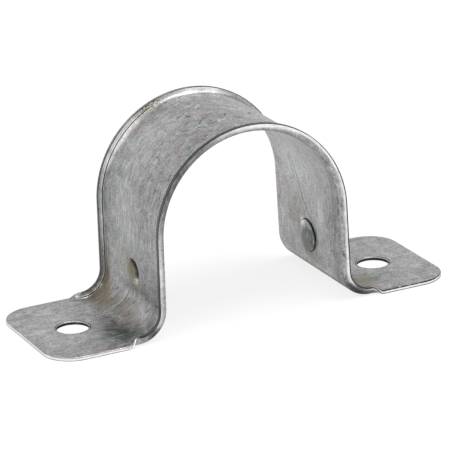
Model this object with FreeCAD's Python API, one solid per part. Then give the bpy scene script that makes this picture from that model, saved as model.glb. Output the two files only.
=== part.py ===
"""Two-hole conduit strap, pressed and folded from one strip of galvanised steel.

The strip runs flat from the left foot, bends up into the left leg, goes over the arch, comes
down the right leg and bends out into the right foot. Both long edges are rolled outwards, away
from the conduit, into lips with a short straight flange. The lips flatten out where the feet begin.

Frame: X along the strap from foot to foot, Y along the conduit, Z up. The origin is on the
mounting surface, midway between the two feet.
"""
import FreeCAD, Part
import math
import os

Vector = FreeCAD.Vector

# Driving dimensions, in millimetres and degrees.
CONDUIT_RADIUS = 22.1       # conduit of 44.2 mm outside diameter
CONDUIT_CLEARANCE = 0.1     # radial room between the conduit and the arch
SHEET = 0.91                # thickness of the steel strip, 20 gauge
STRIP_WIDTH = 36.1          # width of the strip before its edges are rolled
LIP_INNER_RADIUS = 0.7      # radius in the hollow of each rolled lip
LIP_FLANGE = 0.6            # straight part of each lip, from its roll to its tip
LIP_ANGLE = 85.0            # how far each edge is rolled up
ARCH_CENTRE_HEIGHT = 23.4   # conduit axis above the mounting surface
LEG_SPLAY = 1.0             # each leg leans outwards by this much
FOOT_BEND_RADIUS = 6.5      # in the hollow between a leg and its foot
LIP_RUNOUT = 3.0            # length over which a lip flattens onto the foot
HOLE_FROM_BEND = 9.5        # end of the foot bend to the screw hole's centre
HOLE_DIAMETER = 7.8         # screw hole
FOOT_BEYOND_HOLE = 11.8     # screw hole's centre to the end of the foot
FOOT_CORNER_RADIUS = 7.5    # outer corners of each foot
EDGE_BREAK = 0.15           # every sheared edge is broken by this much
NIB_RADIUS = 3.9            # round grip nib on the conduit side of each leg
NIB_WALL = 0.4              # steep part of the nib's height
NIB_CROWN = 0.4             # domed part of the nib's height
NIB_ABOVE_BEND = 0.15       # top of the foot bend to the nib's lower edge
NIB_HOLLOW_RADIUS = 3.6     # flat-bottomed hollow that the punch leaves behind each nib
NIB_HOLLOW_DEPTH = 0.6      # how deep that hollow is
RUNOUT_SECTIONS = 9         # cross-sections that shape each run-out

# Sizes that follow from them.
arch_radius = CONDUIT_RADIUS + CONDUIT_CLEARANCE
roll_length = (LIP_INNER_RADIUS + SHEET / 2) * math.radians(LIP_ANGLE)
lip_length = roll_length + LIP_FLANGE
flat_half_width = STRIP_WIDTH / 2 - lip_length
bend_radius = FOOT_BEND_RADIUS + SHEET
splay = math.radians(LEG_SPLAY)
arch_centre = Vector(0, 0, ARCH_CENTRE_HEIGHT)

# Each leg leaves the arch along a tangent and ends where its foot bend begins.
leg_normal = Vector(math.cos(splay), 0, math.sin(splay))
leg_direction = Vector(math.sin(splay), 0, -math.cos(splay))
leg_top = arch_centre + leg_normal * arch_radius
leg_end_height = bend_radius * (1 - math.sin(splay))
leg_length = (leg_top.z - leg_end_height) / math.cos(splay)
leg_end = leg_top + leg_direction * leg_length
bend_centre = leg_end + leg_normal * bend_radius
foot_start = bend_centre.x
plate_start = foot_start + LIP_RUNOUT
hole_x = foot_start + HOLE_FROM_BEND
foot_end = hole_x + FOOT_BEYOND_HOLE

X_AXIS = Vector(1, 0, 0)
Y_AXIS = Vector(0, 1, 0)


def lip_edges(curl):
    """Outline of one lip's cross-section, from the conduit side round the tip to the outer side.

    It lies in the YZ plane with the strip's conduit side at z = 0. A curl of 1 is the full lip
    and a curl of 0 is the flat strip. The length along the lip stays the same throughout.
    """
    roll = math.radians(LIP_ANGLE) * curl
    half_sheet = SHEET / 2
    shoulder = half_sheet - EDGE_BREAK

    def point(length, offset):
        """Point at a length along the lip, offset from its middle towards the outer side."""
        if roll == 0:
            return Vector(0, flat_half_width + length, half_sheet + offset)
        radius = roll_length / roll
        angle = min(length, roll_length) / radius
        straight = max(length - roll_length, 0)
        across = (radius - offset) * math.sin(angle) + straight * math.cos(angle)
        up = radius - (radius - offset) * math.cos(angle) + straight * math.sin(angle)
        return Vector(0, flat_half_width + across, half_sheet + up)

    def side(offset):
        """The lip's conduit side or outer side: its roll, then its flange up to the broken edge."""
        root, end = point(0, offset), point(roll_length, offset)
        flange = Part.makeLine(end, point(lip_length - EDGE_BREAK, offset))
        if roll == 0:
            return [Part.makeLine(root, end), flange]
        return [Part.Arc(root, point(roll_length / 2, offset), end).toShape(), flange]

    def broken_edge(sign):
        """The small slope between one side of the lip and its tip."""
        start = point(lip_length - EDGE_BREAK, sign * half_sheet)
        return Part.makeLine(start, point(lip_length, sign * shoulder))

    tip = Part.makeLine(point(lip_length, -shoulder), point(lip_length, shoulder))
    return side(-half_sheet) + [broken_edge(-1), tip, broken_edge(1)] + side(half_sheet)[::-1]


def lip_wire(curl):
    """Closed cross-section of one lip, as far as its root on the flat middle of the strip."""
    root = Part.makeLine(Vector(0, flat_half_width, SHEET), Vector(0, flat_half_width, 0))
    return Part.Wire(lip_edges(curl) + [root])


def channel_face():
    """Whole cross-section of the strip with both lips rolled up, as one face."""
    near = lip_edges(1)
    far = [edge.mirror(Vector(0, 0, 0), Y_AXIS) for edge in near]
    bottom = Part.makeLine(Vector(0, -flat_half_width, 0), Vector(0, flat_half_width, 0))
    top = Part.makeLine(Vector(0, -flat_half_width, SHEET), Vector(0, flat_half_width, SHEET))
    edges = Part.__sortEdges__(near + [top] + far + [bottom])
    return Part.Face(Part.Wire(edges))


def channel_at(position, outward):
    """The channel cross-section, its conduit side at a position and its outer side facing outward."""
    face = channel_face()
    face.Placement = FreeCAD.Placement(position, FreeCAD.Rotation(Vector(0, 0, 1), outward))
    return face


def arch():
    """Half ring that the conduit lies in, from the top of one leg to the other."""
    section = channel_at(leg_top, leg_normal)
    return section.revolve(arch_centre, -Y_AXIS, 180 - 2 * LEG_SPLAY)


def leg():
    """Straight right leg."""
    return channel_at(leg_top, leg_normal).extrude(leg_direction * leg_length)


def foot_bend():
    """Quarter bend from the right leg out into its foot."""
    section = channel_at(leg_end, leg_normal)
    return section.revolve(bend_centre, -Y_AXIS, 90 - LEG_SPLAY)


def runout():
    """Start of the right foot, where both lips flatten out into its edges."""
    middle = Part.makeBox(LIP_RUNOUT, 2 * flat_half_width, SHEET)
    middle.translate(Vector(foot_start, -flat_half_width, 0))
    wires = []
    for index in range(RUNOUT_SECTIONS):
        along = index / (RUNOUT_SECTIONS - 1)
        curl = 1 - along ** 3 * (10 - 15 * along + 6 * along ** 2)
        wire = lip_wire(curl)
        wire.translate(X_AXIS * (foot_start + along * LIP_RUNOUT))
        wires.append(wire)
    lip = Part.makeLoft(wires, True, False)
    return [middle, lip, lip.mirror(Vector(0, 0, 0), Y_AXIS)]


def foot_plate():
    """Flat right foot with its screw hole, rounded outer corners and broken edges."""
    plate = Part.makeBox(foot_end - plate_start, STRIP_WIDTH, SHEET)
    plate.translate(Vector(plate_start, -STRIP_WIDTH / 2, 0))
    corners = [edge for edge in plate.Edges if is_upright(edge) and not at_root(edge)]
    plate = plate.makeFillet(FOOT_CORNER_RADIUS, corners)
    # The hole's punch reaches one thickness of sheet past either face.
    hole = Part.makeCylinder(HOLE_DIAMETER / 2, 3 * SHEET, Vector(hole_x, 0, -SHEET))
    plate = plate.cut(hole)
    rims = [edge for edge in plate.Edges if not is_upright(edge) and not at_root(edge)]
    return plate.makeChamfer(EDGE_BREAK, rims)


def is_upright(edge):
    """True for an edge that runs through the thickness of the foot."""
    return edge.BoundBox.ZLength > SHEET / 2


def at_root(edge):
    """True for an edge where the flat foot joins the lips' run-out."""
    return edge.BoundBox.XMax < plate_start + EDGE_BREAK / 10


def round_tool(profile, centre, axis):
    """Round solid about an axis through centre. The profile's X is its radius and Z runs along."""
    wire = Part.Wire(profile)
    solid = Part.Face(wire).revolve(Vector(0, 0, 0), Vector(0, 0, 1), 360)
    solid.Placement = FreeCAD.Placement(centre, FreeCAD.Rotation(Vector(0, 0, 1), axis))
    return solid


def nib_profile():
    """Half section of a nib: a short steep wall and a domed crown, from half way into the sheet."""
    back = SHEET / 2
    height = NIB_WALL + NIB_CROWN
    crown_radius = (NIB_RADIUS ** 2 + NIB_CROWN ** 2) / (2 * NIB_CROWN)
    half_angle = math.asin(NIB_RADIUS / crown_radius) / 2
    crown_middle = Vector(
        crown_radius * math.sin(half_angle), 0, height - crown_radius * (1 - math.cos(half_angle)))
    shoulder = Vector(NIB_RADIUS, 0, NIB_WALL)
    top = Vector(0, 0, height)
    return [
        Part.makeLine(Vector(0, 0, -back), Vector(NIB_RADIUS, 0, -back)),
        Part.makeLine(Vector(NIB_RADIUS, 0, -back), shoulder),
        Part.Arc(shoulder, crown_middle, top).toShape(),
        Part.makeLine(top, Vector(0, 0, -back)),
    ]


def nib_tools():
    """Bump that a nib adds on the conduit side of the right leg, and the hollow behind it."""
    inward = leg_normal * -1
    distance = leg_length - NIB_RADIUS - NIB_ABOVE_BEND
    base = leg_top + leg_direction * distance
    bump = round_tool(nib_profile(), base, inward)
    # The punch starts one thickness of sheet clear of the leg's outer face.
    punch_start = base + leg_normal * (2 * SHEET)
    hollow = Part.makeCylinder(NIB_HOLLOW_RADIUS, SHEET + NIB_HOLLOW_DEPTH, punch_start, inward)
    return bump, hollow


def strap():
    """The whole strap as one solid."""
    bump, hollow = nib_tools()
    half = [leg(), foot_bend(), foot_plate(), bump] + runout()
    other_half = [shape.mirror(Vector(0, 0, 0), X_AXIS) for shape in half]
    hollows = Part.makeCompound([hollow, hollow.mirror(Vector(0, 0, 0), X_AXIS)])
    return arch().multiFuse(half + other_half).cut(hollows).removeSplitter()


os.makedirs("parts", exist_ok=True)
body = strap()
body.Solids[0].exportStep("parts/strap.step")
print("strap: valid", body.isValid(), "solids", len(body.Solids), "volume", round(body.Volume, 1), "mm3")
print("screw hole spacing", round(2 * hole_x, 3), "length", round(2 * foot_end, 3))
print("flat width", round(2 * flat_half_width, 3), "height", round(body.optimalBoundingBox(False).ZMax, 3))
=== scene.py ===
import math

import bpy
import numpy as np
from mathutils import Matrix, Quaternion, Vector
from mathutils.geometry import delaunay_2d_cdt


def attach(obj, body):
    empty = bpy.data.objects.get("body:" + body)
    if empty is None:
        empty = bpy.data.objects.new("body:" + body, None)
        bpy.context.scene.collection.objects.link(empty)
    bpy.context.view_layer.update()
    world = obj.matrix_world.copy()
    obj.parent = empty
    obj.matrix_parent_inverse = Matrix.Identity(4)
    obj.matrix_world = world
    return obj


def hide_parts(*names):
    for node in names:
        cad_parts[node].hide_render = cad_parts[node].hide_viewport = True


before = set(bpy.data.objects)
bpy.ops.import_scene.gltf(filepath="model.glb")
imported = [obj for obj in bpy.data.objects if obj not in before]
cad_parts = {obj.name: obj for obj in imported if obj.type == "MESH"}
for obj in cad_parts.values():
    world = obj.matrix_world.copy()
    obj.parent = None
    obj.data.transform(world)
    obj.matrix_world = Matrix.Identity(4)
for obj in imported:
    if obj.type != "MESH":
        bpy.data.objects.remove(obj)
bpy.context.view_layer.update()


# ---------------------------------------------------------------------------------------------
# Strap. One strip of 20 gauge steel, galvanised before it was sheared, with rounded corners and
# a punched screw hole in each foot. A press folds it over a former: the arch, the legs, the feet,
# the two long edges curled outwards, and one round grip nib pushed inwards in each leg.
# ---------------------------------------------------------------------------------------------
MM = 0.001  # the strap's own sizes are in millimetres
SHEET = 0.91
STRIP_WIDTH = 36.1
ARCH_RADIUS = 22.2
ARCH_CENTRE_HEIGHT = 23.4
LEG_SPLAY = math.radians(1)
BEND_RADIUS = 6.5 + SHEET
LIP_ANGLE = math.radians(85)
LIP_ROLL = (0.7 + SHEET / 2) * LIP_ANGLE
LIP_FLANGE = 0.6
LIP_RUNOUT = 3.0
HOLE_FROM_BEND = 9.5
HOLE_RADIUS = 3.9
FOOT_BEYOND_HOLE = 11.8
CORNER_RADIUS = 7.5
NIB_RADIUS = 4.0
NIB_ASIDE = 0.2
NIB_PUNCH_RADIUS = 3.9
NIB_ABOVE_BEND = 0.15
HOLLOW_RADIUS = 3.15

# Lengths along the strip, from the middle of the crown towards either foot.
half_width = STRIP_WIDTH / 2
flat_half_width = half_width - LIP_ROLL - LIP_FLANGE
leg_top_height = ARCH_CENTRE_HEIGHT + ARCH_RADIUS * math.sin(LEG_SPLAY)
leg_length = (leg_top_height - BEND_RADIUS * (1 - math.sin(LEG_SPLAY))) / math.cos(LEG_SPLAY)
quarter = math.pi / 2 - LEG_SPLAY
leg_start = ARCH_RADIUS * quarter
bend_start = leg_start + leg_length
foot_start = bend_start + BEND_RADIUS * quarter
hole_at = foot_start + HOLE_FROM_BEND
foot_end = hole_at + FOOT_BEYOND_HOLE
nib_at = bend_start - NIB_ABOVE_BEND - NIB_PUNCH_RADIUS

# The sheared edges: the upper rim rolls over under the punch, and the lower rim stays crisp.
ROLL_OVER = 0.16
BURR_SIDE = 0.08


def line_of(path):
    """Place on the strip's conduit side and the way out from the conduit, at lengths along it."""
    s = np.abs(path)
    side = np.where(path < 0, -1.0, 1.0)
    on_arch = np.clip(s, 0, leg_start) / ARCH_RADIUS
    on_leg = np.clip(s - leg_start, 0, leg_length)
    in_bend = np.clip(s - bend_start, 0, BEND_RADIUS * quarter) / BEND_RADIUS
    on_foot = np.maximum(s - foot_start, 0)
    turned = np.pi / 2 - on_arch + in_bend
    out_x, out_z = np.cos(turned), np.sin(turned)
    # Arch, then leg, then the bend round its own centre, then the foot.
    x = ARCH_RADIUS * np.sin(on_arch) + math.sin(LEG_SPLAY) * on_leg
    z = ARCH_CENTRE_HEIGHT + ARCH_RADIUS * np.cos(on_arch) - math.cos(LEG_SPLAY) * on_leg
    leg_x, leg_z = math.cos(LEG_SPLAY), math.sin(LEG_SPLAY)
    x = x + BEND_RADIUS * (leg_x - out_x) * (in_bend > 0) + on_foot
    z = z + BEND_RADIUS * (leg_z - out_z) * (in_bend > 0)
    return x * side, z, out_x * side, out_z


def fold(along, across, height):
    """Points of the flat blank, carried to their places on the finished strap."""
    s = np.abs(along)
    run = np.clip((s - foot_start) / LIP_RUNOUT, 0, 1)
    curl = 1 - run ** 3 * (10 - 15 * run + 6 * run ** 2)
    roll = np.maximum(LIP_ANGLE * curl, 1e-4)
    past = np.maximum(np.abs(across) - flat_half_width, 0)
    radius = LIP_ROLL / roll
    angle = np.minimum(past, LIP_ROLL) / radius
    flange = np.maximum(past - LIP_ROLL, 0)
    y = np.minimum(np.abs(across), flat_half_width)
    y = y + (radius - height) * np.sin(angle) + flange * np.cos(angle)
    up = SHEET / 2 + radius - (radius - height) * np.cos(angle) + flange * np.sin(angle)
    x, z, out_x, out_z = line_of(along)
    return np.stack([x + out_x * up, y * np.where(across < 0, -1, 1), z + out_z * up], axis=-1)


# The nibs' punch leaned a little, so it cut in above and in front, and ran out below and behind.
LEAN_DOWN, LEAN_ACROSS = 0.43, 0.9

# A nib has a wall and a low dome on top. Where the punch cut in, the wall is higher by WALL_EXTRA
# and rises in less room, and so does the hollow's: RISE is the room where it ran out, and
# RISE_LESS how much less it takes where it cut in.
NIB_WALL, NIB_WALL_EXTRA, NIB_DOME = 0.3, 0.16, 0.35
NIB_RISE, NIB_RISE_LESS = 0.45, 0.31
HOLLOW_DEPTH, HOLLOW_RAMP = 0.12, 0.7
HOLLOW_RISE, HOLLOW_RISE_LESS = 2.6, 2.35


def askew(along, across):
    """1 on the side of a nib where its punch cut in, and 0 on the other side."""
    down = np.abs(along) - nib_at
    lean = LEAN_DOWN * down + LEAN_ACROSS * across
    return 0.5 - 0.5 * lean / np.maximum(np.hypot(down, across), 1e-6)


def nib_height(along, across):
    """How far a nib stands out from the strip's conduit side."""
    reach = np.hypot(np.abs(along) - nib_at, across - NIB_ASIDE)
    steep = askew(along, across)
    edge = np.clip((NIB_RADIUS - reach) / (NIB_RISE - NIB_RISE_LESS * steep), 0, 1)
    dome = NIB_DOME * np.clip(1 - (reach / NIB_RADIUS) ** 2, 0, 1)
    return (NIB_WALL + NIB_WALL_EXTRA * steep + dome) * edge * edge * (3 - 2 * edge)


def hollow_depth(along, across):
    """How deep the punch's hollow is behind a nib."""
    reach = np.hypot(np.abs(along) - nib_at, across)
    steep = askew(along, across)
    edge = np.clip((HOLLOW_RADIUS - reach) / (HOLLOW_RISE - HOLLOW_RISE_LESS * steep), 0, 1)
    lean = LEAN_DOWN * (np.abs(along) - nib_at) + LEAN_ACROSS * across
    ramp = 0.5 - 0.5 * lean / HOLLOW_RADIUS
    return (HOLLOW_DEPTH + HOLLOW_RAMP * np.clip(ramp, 0, 1)) * edge * edge * (3 - 2 * edge)


def spaced(start, end, step):
    """Evenly spaced values from start up to end, which is left out."""
    return np.linspace(start, end, max(2, round((end - start) / step)), endpoint=False)


# The flat blank: a mesh of points on the strip, closer where it is folded, pressed or cut.
corner_start = foot_end - CORNER_RADIUS
stations = np.concatenate([
    spaced(0, leg_start, 0.8), spaced(leg_start, bend_start, 0.7), spaced(bend_start, foot_start, 0.45),
    spaced(foot_start, foot_start + LIP_RUNOUT, 0.22), spaced(foot_start + LIP_RUNOUT, corner_start, 0.7)])
stations = np.concatenate([-stations[:0:-1], stations])
cut_in = half_width - ROLL_OVER
lanes = np.concatenate([spaced(0, flat_half_width, 0.8), spaced(flat_half_width, cut_in, 0.2)])
lanes = np.concatenate([-lanes[:0:-1], lanes])


def ring(at, radius, count):
    """Points round a circle on the blank, with the direction out from its middle."""
    turn = np.arange(count) * 2 * np.pi / count
    way = np.stack([np.cos(turn), np.sin(turn)], axis=1)
    return np.array([at, 0.0]) + radius * way, way


# How far the grid's points keep from the corners, long edges, ends, screw holes and nibs.
CORNER_GAP, EDGE_GAP, END_GAP, HOLE_GAP, NIB_GAP = 0.25, 0.05, 0.3, 0.7, 1.1
HOLE_POINTS = 72
CORNER_POINTS = 18

# Outline of the blank: each rounded corner with the straight edge after it, then the screw holes.
corner = CORNER_RADIUS - ROLL_OVER
turns = np.linspace(0, np.pi / 2, CORNER_POINTS)
outline, outward = [], []
for quadrant, (end, edge) in enumerate(((1, 1), (-1, 1), (-1, -1), (1, -1))):
    turn = turns + quadrant * np.pi / 2
    way = np.stack([np.cos(turn), np.sin(turn)], axis=1)
    centre = np.array([end * corner_start, edge * (half_width - CORNER_RADIUS)])
    outline.append(centre + corner * way)
    outward.append(way)
    if quadrant % 2 == 0:
        run = stations[::-1] if edge > 0 else stations
        run = run[np.abs(run) < corner_start - END_GAP]
        outline.append(np.stack([run, np.full(len(run), edge * cut_in)], axis=1))
        outward.append(np.tile([0.0, edge], (len(run), 1)))
    else:
        run = lanes[::-1] if end < 0 else lanes
        run = run[np.abs(run) < half_width - CORNER_RADIUS - END_GAP]
        outline.append(np.stack([np.full(len(run), end * (foot_end - ROLL_OVER)), run], axis=1))
        outward.append(np.tile([end, 0.0], (len(run), 1)))
loops = [(np.concatenate(outline), np.concatenate(outward))]
for end in (1, -1):
    rim, way = ring(end * hole_at, HOLE_RADIUS + ROLL_OVER, HOLE_POINTS)
    loops.append((rim, -way))


def crossings(along, across):
    """Every point where one of these stations meets one of these lanes."""
    return np.stack(np.meshgrid(along, across, indexing="ij"), axis=-1).reshape(-1, 2)


grid = crossings(stations, lanes)
foot_lanes = spaced(-cut_in, cut_in, 0.8)
tips = spaced(corner_start, foot_end - ROLL_OVER, 0.7)
for end in (1, -1):
    grid = np.concatenate([grid, crossings(end * tips, foot_lanes)])
s, v = np.abs(grid[:, 0]), np.abs(grid[:, 1])
from_corner_start = np.maximum(s - foot_end + CORNER_RADIUS, 0)
to_corner = np.hypot(from_corner_start, np.maximum(v - half_width + CORNER_RADIUS, 0))
inside = (to_corner < corner - CORNER_GAP) & (v < cut_in - EDGE_GAP) & (s < foot_end - ROLL_OVER - END_GAP)
inside &= np.hypot(s - hole_at, v) > HOLE_RADIUS + ROLL_OVER + HOLE_GAP
inside &= np.hypot(s - nib_at, v) > NIB_RADIUS + NIB_GAP
points = [grid[inside]]
nib_rings = np.concatenate([
    spaced(0.4, 2.6, 0.3), spaced(2.6, 3.3, 0.09), spaced(3.3, 3.7, 0.13), spaced(3.7, 4.3, 0.06),
    spaced(4.3, 5.0, 0.2)])
for end in (1, -1):
    points.append(ring(end * hole_at, HOLE_RADIUS + ROLL_OVER + HOLE_GAP / 2, HOLE_POINTS)[0])
    for radius in nib_rings:
        points.append(ring(end * nib_at, radius, 12 * math.ceil(radius * 1.7))[0])

rims = [loop for loop, _ in loops]
blank = np.concatenate(rims + points)
constraints, first = [], 0
for loop in rims:
    count = len(loop)
    constraints += [(first + i, first + (i + 1) % count) for i in range(count)]
    first += count
made = delaunay_2d_cdt([Vector(p) for p in blank], constraints, [], 0, 1e-6)
assert len(made[0]) == len(blank), "the blank's points fell together"
faces = np.array(made[2])
middle = blank[faces].mean(axis=1)
over_hole = np.hypot(np.abs(middle[:, 0]) - hole_at, middle[:, 1]) < HOLE_RADIUS + ROLL_OVER - 0.02
faces = faces[~over_hole]
a, b, c = (blank[faces[:, i]] for i in range(3))
upward = (b[:, 0] - a[:, 0]) * (c[:, 1] - a[:, 1]) - (b[:, 1] - a[:, 1]) * (c[:, 0] - a[:, 0])
faces[upward < 0] = faces[upward < 0][:, ::-1]

# Two skins of the sheet and, between them, the sheared edges. On the strip's map, the conduit side
# lies beside the outer side, this far across.
CONDUIT_SIDE_MAP = 100
count = len(blank)
along = np.concatenate([blank[:, 0], blank[:, 0]])
across = np.concatenate([blank[:, 1], blank[:, 1]])
height = np.concatenate([np.full(count, SHEET / 2), np.full(count, -SHEET / 2)])
height[:count] -= hollow_depth(along[:count], across[:count])
height[count:] -= nib_height(along[count:], across[count:])
skin_uv = np.stack([along, across + np.where(np.arange(2 * count) < count, 0, CONDUIT_SIDE_MAP)], axis=1)

bent = np.linspace(0, np.pi / 2, 5)[1:]
profile = [(ROLL_OVER * math.sin(a), SHEET / 2 - ROLL_OVER * (1 - math.cos(a))) for a in bent]
profile += [
    (ROLL_OVER - BURR_SIDE * (1 - math.cos(a)), BURR_SIDE * (1 - math.sin(a)) - SHEET / 2) for a in bent[::-1]]
profile += [(ROLL_OVER - BURR_SIDE, -SHEET / 2)]

polygons = [tuple(f) for f in faces] + [tuple(f[::-1] + count) for f in faces]
is_cut = [0] * len(polygons)
corner_uv = [tuple(skin_uv[i]) for f in polygons for i in f]
new_along, new_across, new_height = [along], [across], [height]
first, total = 0, 2 * count
for loop, way in loops:
    n = len(loop)
    rows = [np.arange(first, first + n)]
    for reach, level in profile:
        place = loop + way * reach
        new_along.append(place[:, 0])
        new_across.append(place[:, 1])
        new_height.append(np.full(n, level))
        rows.append(np.arange(total, total + n))
        total += n
    rows.append(np.arange(first, first + n) + count)
    steps = np.hypot(*(np.roll(loop, -1, axis=0) - loop).T)
    run = np.concatenate([[0], np.cumsum(steps)])
    levels = [SHEET / 2] + [level for _, level in profile] + [-SHEET / 2]
    for k in range(len(rows) - 1):
        for i in range(n):
            j = (i + 1) % n
            polygons.append((rows[k][i], rows[k + 1][i], rows[k + 1][j], rows[k][j]))
            is_cut.append(1)
            corner_uv += [
                (run[i], levels[k]), (run[i], levels[k + 1]), (run[i + 1], levels[k + 1]), (run[i + 1], levels[k])]
    first += n

places = fold(np.concatenate(new_along), np.concatenate(new_across), np.concatenate(new_height))
mesh = bpy.data.meshes.new("strap_sheet")
mesh.from_pydata([tuple(p) for p in places * MM], [], [tuple(int(i) for i in f) for f in polygons])
mesh.update()
strip_map = mesh.uv_layers.new(name="strip")
strip_map.data.foreach_set("uv", np.array(corner_uv, np.float32).ravel())
mesh.polygons.foreach_set("material_index", is_cut)
mesh.polygons.foreach_set("use_smooth", [True] * len(polygons))
strap = bpy.data.objects.new("strap_sheet", mesh)
bpy.context.scene.collection.objects.link(strap)
even = strap.modifiers.new("even shading", "WEIGHTED_NORMAL")
even.keep_sharp = True

# Marks on the zinc, as soft spots on one skin: dirt, stains and rubs that the press and the store left,
# and also painted shade and painted highlights. Each one is given by its middle along and across the
# strip, its length, its width and its strength.
all_along, all_across = np.concatenate(new_along), np.concatenate(new_across)
on_skin = np.arange(total) < 2 * count
outer_side = on_skin & (np.arange(total) < count)
conduit_side = on_skin & ~outer_side


def spots(where, marks):
    """Strength of these marks at every point of the mesh, on one part of it."""
    strength = np.zeros(total)
    for mark_along, mark_across, length, width, amount in marks:
        off_along, off_across = (all_along - mark_along) / length, (all_across - mark_across) / width
        strength += amount * np.exp(-off_along ** 2 - off_across ** 2)
    return strength * where


def keep_at_points(name, *shares):
    """Stores three shares from 0 to 1 at every point of the mesh, for a material to read."""
    values = np.clip(np.stack([*shares, np.ones(total)], axis=1), 0, 1)
    layer = mesh.attributes.new(name, "FLOAT_COLOR", "POINT")
    layer.data.foreach_set("color", values.astype(np.float32).ravel())


# Grime and painted shade, darkening the zinc. There is grime in the bends, and painted shade in the left hollow,
# over the left leg, on the front lip over the arch and on the right nib. On the right bend it stands in for the
# strap's shadow on the table.
grime_and_shade = spots(outer_side, (
    # Left bend, and the foot beside it: grime, and painted shadow at the back of the run-out.
    (-63.8, -8.5, 3.8, 6.0, 1.1), (-55.5, -12.5, 4.0, 2.6, 0.9), (-60.5, 14.5, 2.0, 2.5, 0.5),
    (-58.5, -6.0, 2.5, 3.0, 0.35), (-57.0, 4.0, 2.5, 5.0, 0.4),
    # Left hollow, then the leg and the arch above it: painted shade in the hollow and over the leg.
    (-46.3, -0.6, 2.2, 2.2, 1.6), (-40.0, 10.0, 8.0, 3.0, 0.2), (-38.0, 0.0, 13.0, 15.0, 0.35),
    (-29.0, 0.0, 9.0, 15.0, 0.2), (-28.0, 16.6, 6.0, 1.2, 0.4),
    # Right bend and foot.
    (61.0, -6.0, 3.0, 7.0, 0.5), (66.0, -9.0, 5.0, 3.5, 0.5),
))
grime_and_shade += spots(conduit_side, (
    # Front lip over the arch: painted shade.
    (-20.0, -17.0, 11.0, 2.4, 1.0), (12.0, -15.6, 16.0, 0.9, 0.7),
    # Right leg, darker towards its foot, and painted shade on its nib.
    (38.0, -12.0, 8.0, 3.0, 0.3), (43.0, 6.5, 5.0, 4.0, 0.25), (44.0, -14.6, 18.0, 1.2, 0.5),
    (47.4, -1.0, 2.5, 2.4, 2.6), (49.2, 1.2, 2.0, 2.2, 1.6),
    # Right bend, where it comes down to the wall: painted shadow.
    (57.8, 0.0, 1.5, 30.0, 2.0), (59.0, -15.0, 5.0, 4.0, 1.5), (60.0, -16.0, 3.0, 3.0, 3.5),
    (60.5, 0.0, 4.0, 16.0, 1.2),
))
brown = spots(outer_side, (
    # Left bend.
    (-59.5, 11.5, 2.5, 3.5, 0.8), (-58.0, 0.0, 3.0, 12.0, 0.35), (-57.0, 14.0, 3.0, 3.0, 0.9),
    (-53.0, 15.0, 3.0, 1.2, 0.7), (-48.0, 17.0, 5.0, 1.0, 0.5),
    # Left hollow.
    (-49.6, -1.0, 1.0, 2.0, 0.7), (-47.4, 1.2, 2.0, 2.2, 0.6), (-44.0, 3.0, 3.0, 2.0, 0.4),
    # Back lip over the arch, then the right foot.
    (-17.0, 17.0, 6.0, 1.2, 0.2), (-9.5, 17.2, 3.0, 1.2, 1.0), (64.0, -10.0, 3.0, 4.0, 0.5),
))
brown += spots(conduit_side, (
    # Right leg, round its nib.
    (33.0, -6.0, 5.0, 3.0, 0.12), (42.0, 6.0, 6.0, 4.0, 0.15), (45.5, 4.6, 2.4, 0.8, 0.5),
    (52.0, -2.0, 2.0, 3.0, 0.4),
))
# Rubs and painted highlights, lightening the zinc. Painted highlights and glints lie along both lips, at the left
# hollow and on the right nib, and painted light lies over the crown, the legs and the feet.
highlights_and_rubs = spots(outer_side, (
    # Back lip: painted highlights and glints.
    (-61.5, 16.8, 1.2, 0.8, 1.5), (-58.1, 17.2, 0.7, 0.5, 1.2), (-56.3, 16.7, 0.8, 0.8, 1.6),
    (-42.0, 17.2, 10.0, 0.9, 0.7), (-17.0, 17.0, 8.0, 1.7, 3.6), (3.5, 17.2, 5.0, 1.2, 2.4),
    # Left bend, hollow and leg.
    (-56.0, -7.5, 2.2, 4.5, 0.3), (-49.2, -1.2, 0.8, 1.0, 1.5), (-33.0, 3.0, 10.0, 6.0, 0.2),
    # Crown.
    (-16.0, 6.0, 9.0, 5.0, 0.2), (-14.0, 2.0, 7.0, 12.0, 0.14), (3.0, 13.0, 8.0, 2.0, 0.25),
    # Feet.
    (-78.0, 2.0, 9.0, 12.0, 0.14), (78.0, 2.0, 10.0, 14.0, 0.08),
))
highlights_and_rubs += spots(conduit_side, (
    # Front lip: painted highlights along its edge.
    (-56.0, -17.7, 5.0, 0.4, 0.6), (-42.0, -17.6, 8.0, 0.45, 0.8), (4.0, -17.7, 8.0, 0.5, 2.2),
    (20.0, -17.75, 12.0, 0.3, 1.8), (46.0, -17.5, 16.0, 0.22, 1.5),
    # Right leg, and the top of its nib: painted light.
    (31.0, 3.0, 6.0, 9.0, 0.25), (39.0, -7.0, 5.0, 2.0, 0.25), (43.9, 2.2, 0.7, 1.4, 0.9),
))
keep_at_points("marks_and_light", grime_and_shade, brown, highlights_and_rubs)

# The cut edges of the lips and the walls of the screw holes are painted dark, as painted shade, and those of
# the feet keep the bright steel. Where the back lip is rubbed and carries its painted highlight, on the left of
# the crown, its edge is less dark. Every outer edge has a painted dark line along each of its rims, as painted
# shade, fainter on the left foot.
on_edge = ~on_skin | (np.arange(total) % count < sum(len(loop) for loop, _ in loops))
on_rim = on_edge & (np.hypot(np.abs(all_along) - hole_at, all_across) > HOLE_RADIUS + 1)
in_hole = on_edge & ~on_rim
highlight_and_rub_zone = np.exp(-((all_along + 7) / 16) ** 4) * (all_across > 0)
on_lip = np.clip((foot_start + 1.0 - np.abs(all_along)) / 1.5, 0, 1)
dark = in_hole + on_rim * on_lip * (1 - 0.6 * highlight_and_rub_zone)
rim_line = on_rim * np.where(all_along < -foot_start, 0.6, 1.0)
keep_at_points("sheared", dark, rim_line, in_hole)


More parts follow.
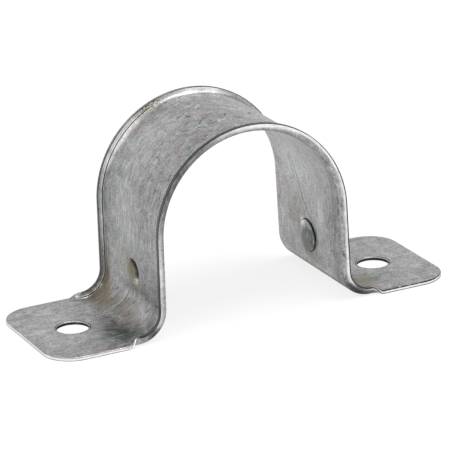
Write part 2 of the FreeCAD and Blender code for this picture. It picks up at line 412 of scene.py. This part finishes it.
def shade(tree, kind, inputs=None, **settings):
    """Adds one shader node with its settings, and joins or sets its inputs."""
    node = tree.nodes.new("ShaderNode" + kind)
    for name, value in settings.items():
        setattr(node, name, value)
    for name, value in (inputs or {}).items():
        if isinstance(value, bpy.types.NodeSocket):
            tree.links.new(value, node.inputs[name])
        else:
            node.inputs[name].default_value = value
    return node


def calc(tree, operation, *values, clamp=False):
    """Adds one math node and gives what comes out of it."""
    return shade(tree, "Math", dict(enumerate(values)), operation=operation, use_clamp=clamp).outputs[0]


def fade(tree, value, start, end, low=0.0, high=1.0):
    """Goes from low at the value start to high at the value end, and no further."""
    span = {"Value": value, "From Min": start, "From Max": end, "To Min": low, "To Max": high}
    return shade(tree, "MapRange", span).outputs[0]


def both(tree, *shares):
    """Where all of these are at once."""
    together = shares[0]
    for share in shares[1:]:
        together = calc(tree, "MULTIPLY", together, share)
    return together


def either(tree, *shares):
    """Where any of these is."""
    together = shares[0]
    for share in shares[1:]:
        together = calc(tree, "MAXIMUM", together, share)
    return together


# Surface of rolled and galvanised strip: long drawing lines, soft mottling and a fine grain.
surface = bpy.data.node_groups.new("rolled surface", "ShaderNodeTree")
surface.interface.new_socket("Place", in_out="INPUT", socket_type="NodeSocketVector")
for name in ("Line Length", "Line Width", "Patch Size", "Grain Size"):
    surface.interface.new_socket(name, in_out="INPUT", socket_type="NodeSocketFloat")
for name in ("Lines", "Patches", "Grain"):
    surface.interface.new_socket(name, in_out="OUTPUT", socket_type="NodeSocketFloat")
given = surface.nodes.new("NodeGroupInput").outputs
result = surface.nodes.new("NodeGroupOutput").inputs
drift = shade(surface, "TexNoise", {"Vector": given["Place"], "Scale": 0.07, "Detail": 2.0}).outputs["Fac"]
apart = shade(surface, "SeparateXYZ", {"Vector": given["Place"]}).outputs
lane = calc(surface, "MULTIPLY_ADD", drift, 7.0, apart["Y"])
drawn = shade(surface, "CombineXYZ", {
    "X": calc(surface, "DIVIDE", apart["X"], given["Line Length"]),
    "Y": calc(surface, "DIVIDE", lane, given["Line Width"])})
lines = shade(surface, "TexNoise", {"Vector": drawn.outputs[0], "Scale": 1.0, "Detail": 3.0, "Roughness": 0.65})
patches = shade(surface, "TexNoise", {
    "Vector": given["Place"], "Scale": calc(surface, "DIVIDE", 1.0, given["Patch Size"]),
    "Detail": 5.0, "Roughness": 0.62, "Distortion": 0.7})
grain = shade(surface, "TexNoise", {
    "Vector": given["Place"], "Scale": calc(surface, "DIVIDE", 1.0, given["Grain Size"]),
    "Detail": 2.0, "Roughness": 0.6})
for name, node in (("Lines", lines), ("Patches", patches), ("Grain", grain)):
    surface.links.new(node.outputs["Fac"], result[name])


def scratches(tree, place, spacing, length, width, slant, share):
    """Scattered straight scratches, one to a cell at most: 1 on a bright one and -1 on a dark one."""
    scaled = shade(tree, "VectorMath", {0: place, "Scale": 1 / spacing}, operation="SCALE").outputs[0]
    cell = shade(tree, "TexVoronoi", {"Vector": scaled, "Scale": 1.0}, voronoi_dimensions="2D").outputs
    local = shade(tree, "VectorMath", {0: scaled, 1: cell["Position"]}, operation="SUBTRACT").outputs[0]
    lot = shade(tree, "SeparateColor", {"Color": cell["Color"]}).outputs
    angle = fade(tree, lot["Red"], 0.0, 1.0, -slant, slant)
    turned_to = shade(tree, "VectorRotate", {"Vector": local, "Angle": angle}, rotation_type="Z_AXIS").outputs[0]
    way = shade(tree, "SeparateXYZ", {"Vector": turned_to}).outputs
    reach = calc(tree, "MULTIPLY", length / spacing, lot["Green"])
    off_line = calc(tree, "ABSOLUTE", way["Y"])
    thin = fade(tree, off_line, 0.4 * width / spacing, 0.6 * width / spacing, 1.0, 0.0)
    short = calc(tree, "LESS_THAN", calc(tree, "ABSOLUTE", way["X"]), reach)
    bright = calc(tree, "GREATER_THAN", lot["Blue"], 1 - share / 2)
    dark_one = calc(tree, "LESS_THAN", lot["Blue"], share / 2)
    return both(tree, thin, short, calc(tree, "SUBTRACT", bright, dark_one))


# Zinc on the two skins: dull grey, a little green in places and a little violet in others.
zinc = bpy.data.materials.new("dull zinc")
zinc.use_nodes = True
tree = zinc.node_tree
metal = tree.nodes["Principled BSDF"]
metal.inputs["Metallic"].default_value = 1.0
place = shade(tree, "UVMap", uv_map="strip").outputs[0]
rolled = shade(tree, "Group", {
    "Place": place, "Line Length": 7.0, "Line Width": 0.5, "Patch Size": 2.2, "Grain Size": 0.5},
    node_tree=surface).outputs
hue = shade(tree, "TexNoise", {"Vector": place, "Scale": 0.3, "Detail": 2.0, "Roughness": 0.6, "Distortion": 0.8})
tint = shade(tree, "ValToRGB", {"Fac": hue.outputs["Fac"]})
greener, more_violet = tint.color_ramp.elements
greener.position, greener.color = 0.36, (0.945, 1.025, 1.005, 1)
more_violet.position, more_violet.color = 0.62, (1.045, 0.965, 0.995, 1)
tone = calc(tree, "MULTIPLY_ADD", rolled["Patches"], 0.62, -0.535)
tone = calc(tree, "MULTIPLY_ADD", rolled["Lines"], 0.5, tone)
tone = calc(tree, "MULTIPLY_ADD", rolled["Grain"], 0.7, tone)
apart = shade(tree, "SeparateXYZ", {"Vector": place}).outputs
along_strip = calc(tree, "ABSOLUTE", apart["X"])
on_conduit_side = calc(tree, "GREATER_THAN", apart["Y"], CONDUIT_SIDE_MAP / 2)
on_outer_side = calc(tree, "SUBTRACT", 1.0, on_conduit_side)
on_crown = both(tree, fade(tree, along_strip, 18.0, 26.0, 1.0, 0.0), on_outer_side)
below_leg = fade(tree, along_strip, bend_start, bend_start + 3.0)
in_bend = both(tree, below_leg, fade(tree, along_strip, foot_start, foot_start + 4.0, 1.0, 0.0))

# Scratches: short scuffs all over, long faint ones, more short ones on the crown, and drag marks in
# the foot bends.
for spacing, length, width, slant, share, contrast in (
        (3.0, 1.0, 0.30, 1.2, 0.6, 0.12), (11.0, 7.0, 0.26, 0.4, 0.8, 0.08),
        (3.1, 1.4, 0.36, 1.5, 0.6, calc(tree, "MULTIPLY", on_crown, 0.22)),
        (2.0, 1.6, 0.30, 1.0, 0.8, calc(tree, "MULTIPLY", in_bend, 0.28))):
    scattered = scratches(tree, place, spacing, length, width, slant, share)
    tone = calc(tree, "MULTIPLY_ADD", scattered, contrast, tone)

# Single scratches: bowed ones that the conduit left inside the right leg, and two drag marks in the
# left bend. Where each starts and ends along the strip, where it starts across it, its slope and
# its bow, half its width and how bright or dark it is.
for start, end, level, slope, bow, half, contrast in (
        (27.0, 42.6, 105.6, 0.0, -0.031, 0.22, -0.20), (28.5, 41.0, 107.2, 0.0, -0.034, 0.22, -0.12),
        (25.0, 37.5, 108.9, 0.0, -0.028, 0.22, 0.16), (30.0, 43.0, 103.0, 0.0, -0.012, 0.22, -0.12),
        (-59.5, -52.8, 5.3, -0.30, 0.0, 0.55, 0.15), (-58.0, -52.2, 4.0, -0.28, 0.0, 0.2, -0.18)):
    past = calc(tree, "SUBTRACT", apart["X"], start)
    path = calc(tree, "MULTIPLY_ADD", past, calc(tree, "MULTIPLY_ADD", past, bow, slope), level)
    off = calc(tree, "ABSOLUTE", calc(tree, "SUBTRACT", apart["Y"], path))
    near = fade(tree, off, half - 0.08, half + 0.08, 1.0, 0.0)
    near = both(tree, near, calc(tree, "GREATER_THAN", past, 0.0), calc(tree, "LESS_THAN", past, end - start))
    tone = calc(tree, "MULTIPLY_ADD", near, contrast, tone)
tone = calc(tree, "MAXIMUM", tone, 0.08)
clean = shade(tree, "VectorMath", {0: tint.outputs["Color"], "Scale": tone}, operation="SCALE").outputs[0]

# Painted shade in the crease at the foot of each lip, where dirt lies too, round the foot of each nib, in the
# hollow behind it and along the tips of the lips on the right. It also lies where the conduit side comes down to
# the wall, standing in for its shadow on the table.
CREASE_FROM_ROOT = 1.0
across_strip = calc(tree, "MULTIPLY_ADD", on_conduit_side, -CONDUIT_SIDE_MAP, apart["Y"])
from_edge = calc(tree, "ABSOLUTE", across_strip)
from_crease = calc(tree, "SUBTRACT", from_edge, flat_half_width + CREASE_FROM_ROOT)
from_crease = calc(tree, "ABSOLUTE", calc(tree, "MULTIPLY_ADD", rolled["Patches"], 0.3, from_crease))
crease = both(
    tree, fade(tree, from_crease, 0.12, 0.32, 1.0, 0.0), on_outer_side,
    fade(tree, along_strip, foot_start, foot_start + 2.0, 1.0, 0.0), fade(tree, apart["X"], -12.0, -5.0, 1.0, 0.3))
down = calc(tree, "SUBTRACT", along_strip, nib_at)
aside = calc(tree, "SUBTRACT", across_strip, NIB_ASIDE)
reach = calc(tree, "SQRT", calc(tree, "ADD", calc(tree, "POWER", down, 2.0), calc(tree, "POWER", aside, 2.0)))
cut_side = calc(tree, "MULTIPLY_ADD", aside, -LEAN_ACROSS, calc(tree, "MULTIPLY", down, -LEAN_DOWN))
cut_side = calc(tree, "DIVIDE", cut_side, reach)
from_nib_edge = calc(tree, "ABSOLUTE", calc(tree, "SUBTRACT", reach, NIB_RADIUS + 0.02))
round_nib = both(
    tree, fade(tree, from_nib_edge, 0.08, 0.18, 1.0, 0.0), on_conduit_side,
    fade(tree, cut_side, -0.5, 0.25, 0.25, 1.0))
in_hollow = both(
    tree, fade(tree, reach, 0.0, 1.5), fade(tree, reach, HOLLOW_RADIUS - 0.05, HOLLOW_RADIUS + 0.1, 1.0, 0.0),
    on_outer_side, fade(tree, cut_side, -0.3, 0.4), fade(tree, down, 0.3, 1.8, 1.0, 0.15))
tip_line = both(
    tree, fade(tree, from_edge, half_width - 0.32, half_width - 0.24), fade(tree, apart["X"], 15.0, 25.0))
by_wall = both(
    tree, fade(tree, along_strip, 54.5, 57.5, 0.0, 0.75), fade(tree, along_strip, 59.0, 63.0, 1.0, 0.0),
    on_conduit_side)
painted_shade_and_dirt = either(tree, crease, round_nib, in_hollow, tip_line, by_wall)

marks_and_light = shade(tree, "Attribute", attribute_name="marks_and_light").outputs["Color"]
kinds = shade(tree, "SeparateColor", {"Color": marks_and_light}).outputs


def mark_share(kind, low, high, by_lines=0.5, by_patches=0.5, by_grain=0.0):
    """One kind of the grime, stains, rubs, painted shade and painted highlights, broken up by the zinc's own
    lines, patches and grain.
    """
    broken = calc(tree, "MULTIPLY", rolled["Patches"], by_patches)
    broken = calc(tree, "MULTIPLY_ADD", rolled["Lines"], by_lines, broken)
    broken = calc(tree, "MULTIPLY_ADD", rolled["Grain"], by_grain, broken)
    return calc(tree, "MULTIPLY", kinds[kind], fade(tree, broken, 0.40, 0.58, low, high), clamp=True)


# Laid over the clean zinc: grime and painted shade in dark green-grey, rubs and painted highlights in near white,
# and brown stains. Near black is used for the painted shade of creases, nibs, hollows and lip tips.
colour = clean
for amount, paint in (
        (mark_share("Red", 1.25, 0.5), (0.10, 0.118, 0.108, 1)),
        (mark_share("Blue", 0.6, 1.1), (0.92, 0.93, 0.94, 1)),
        (mark_share("Green", -0.7, 2.3, 0.35, 0.2, 0.45), (0.235, 0.198, 0.118, 1)),
        (painted_shade_and_dirt, (0.035, 0.03, 0.04, 1))):
    colour = shade(tree, "Mix", {0: amount, 6: colour, 7: paint}, data_type="RGBA").outputs[2]
tree.links.new(colour, metal.inputs["Base Color"])
rough = calc(tree, "MULTIPLY_ADD", rolled["Patches"], 0.45, 0.22)
tree.links.new(calc(tree, "MULTIPLY_ADD", painted_shade_and_dirt, 0.3, rough), metal.inputs["Roughness"])
relief = calc(tree, "ADD", rolled["Lines"], rolled["Grain"])
bump = shade(tree, "Bump", {"Strength": 0.5, "Distance": 0.00008, "Height": relief})
tree.links.new(bump.outputs[0], metal.inputs["Normal"])
mesh.materials.append(zinc)

# Bare steel where the strip was sheared, brighter than the zinc and torn across its thickness.
cut = bpy.data.materials.new("sheared steel")
cut.use_nodes = True
tree = cut.node_tree
metal = tree.nodes["Principled BSDF"]
metal.inputs["Metallic"].default_value = 1.0
place = shade(tree, "UVMap", uv_map="strip").outputs[0]
torn = shade(tree, "Group", {
    "Place": place, "Line Length": 0.3, "Line Width": 0.9, "Patch Size": 2.0, "Grain Size": 0.3},
    node_tree=surface).outputs
sheared = shade(tree, "Attribute", attribute_name="sheared").outputs["Color"]
edges = shade(tree, "SeparateColor", {"Color": sheared}).outputs
in_dark, on_outer_edge, round_hole = edges["Red"], edges["Green"], edges["Blue"]
level = shade(tree, "SeparateXYZ", {"Vector": place}).outputs["Y"]
# Painted shade: the lip edges and hole walls are darker, and a dark line runs along both rims of every outer edge.
# A painted highlight lies on the upper rim of each screw hole.
rim = either(
    tree, fade(tree, level, SHEET / 2 - 0.32, SHEET / 2 - 0.26),
    fade(tree, level, 0.22 - SHEET / 2, 0.16 - SHEET / 2))
tone = both(
    tree, calc(tree, "MULTIPLY_ADD", torn["Lines"], 0.6, 0.58), fade(tree, in_dark, 0.0, 1.0, 1.0, 0.16),
    fade(tree, round_hole, 0.0, 1.0, 1.0, 0.25))
bright_rim = both(tree, rim, round_hole, calc(tree, "GREATER_THAN", level, 0.0))
tone = calc(tree, "MULTIPLY_ADD", bright_rim, 0.45, tone)
steel = shade(tree, "VectorMath", {0: (1.0, 0.97, 0.99), "Scale": tone}, operation="SCALE").outputs[0]
dark_rim = both(tree, rim, on_outer_edge, fade(tree, torn["Patches"], 0.3, 0.5, 0.5, 1.0))
colour = shade(tree, "Mix", {0: dark_rim, 6: steel, 7: (0.05, 0.045, 0.055, 1)}, data_type="RGBA")
tree.links.new(colour.outputs[2], metal.inputs["Base Color"])
metal.inputs["Roughness"].default_value = 0.36
bump = shade(tree, "Bump", {"Strength": 0.3, "Distance": 0.00005, "Height": torn["Lines"]})
tree.links.new(bump.outputs[0], metal.inputs["Normal"])
mesh.materials.append(cut)

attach(strap, "root")
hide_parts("strap")


# ---------------------------------------------------------------------------------------------
# Table. A smooth white sheet under the strap. It stays white to the eye and in reflections, still
# takes the strap's shadow, and can be seen through from below.
# ---------------------------------------------------------------------------------------------
TABLE_SIZE = 6  # metres
BELOW_FEET = 0.02 * MM
GLOW_SHARE = 0.82

bpy.ops.mesh.primitive_plane_add(size=TABLE_SIZE, location=(0, 0, -BELOW_FEET))
table = bpy.context.object
table.name = "table"
paper = bpy.data.materials.new("white table")
paper.use_nodes = True
tree = paper.node_tree
tree.nodes.clear()
matt = shade(tree, "BsdfDiffuse", {"Color": (0.93, 0.93, 0.93, 1)}).outputs[0]
glow = shade(tree, "Emission", {"Strength": 1.0}).outputs[0]
rays = shade(tree, "LightPath").outputs
seen = either(tree, rays["Is Camera Ray"], rays["Is Glossy Ray"], rays["Is Transmission Ray"])
white = shade(tree, "MixShader", {0: calc(tree, "MULTIPLY", seen, GLOW_SHARE), 1: matt, 2: glow}).outputs[0]
clear = shade(tree, "BsdfTransparent").outputs[0]
from_below = shade(tree, "NewGeometry").outputs["Backfacing"]
one_way = shade(tree, "MixShader", {0: from_below, 1: white, 2: clear}).outputs[0]
shade(tree, "OutputMaterial", {"Surface": one_way})
table.data.materials.append(paper)


# ---------------------------------------------------------------------------------------------
# Studio. A soft box overhead and a smaller, warmer one on the left. The pale walls of the room
# light the strap as well, and show in its zinc.
# ---------------------------------------------------------------------------------------------
def soft_box(name, place, size, power, colour=(1, 1, 1)):
    """A square lamp at a place, aimed at the strap."""
    lamp = bpy.data.lights.new(name, "AREA")
    lamp.shape = "SQUARE"
    lamp.size = size
    lamp.energy = power
    lamp.color = colour
    holder = bpy.data.objects.new(name, lamp)
    holder.location = place
    holder.rotation_euler = (-Vector(place)).to_track_quat("-Z", "Y").to_euler()
    bpy.context.scene.collection.objects.link(holder)
    return holder


soft_box("overhead box", (0.25, -0.15, 1.1), 0.6, 9)
soft_box("left box", (-1.0, -0.5, 1.1), 0.5, 6, (1, 0.96, 0.9))

# The room's walls are pale, and its ceiling is greyer.
room = bpy.data.worlds.new("room")
bpy.context.scene.world = room
room.use_nodes = True
tree = room.node_tree
walls = tree.nodes["Background"]
facing = shade(tree, "TexCoord").outputs["Generated"]
upward = shade(tree, "SeparateXYZ", {"Vector": facing}).outputs["Z"]
tree.links.new(fade(tree, upward, 0.15, 0.8, 1.0, 0.6), walls.inputs["Color"])
walls.inputs["Strength"].default_value = 0.95


# ---------------------------------------------------------------------------------------------
# Camera. A long lens, a little above the strap and off to its left. It leans a few degrees to one
# side.
# ---------------------------------------------------------------------------------------------
lens = bpy.data.cameras.new("camera")
lens.sensor_width = 36
lens.lens = 254.5
lens.clip_start = 0.05
lens.clip_end = 20
camera = bpy.data.objects.new("camera", lens)
camera.location = (-0.29364, -0.63842, 0.26925)
aim = Vector((0.00037, -0.00077, 0.01846))
level = (aim - camera.location).to_track_quat("-Z", "Y")
camera.rotation_euler = (level @ Quaternion((0, 0, 1), math.radians(-2.863))).to_euler()
bpy.context.scene.collection.objects.link(camera)
bpy.context.scene.camera = camera
bpy.context.scene.view_settings.view_transform = "Standard"
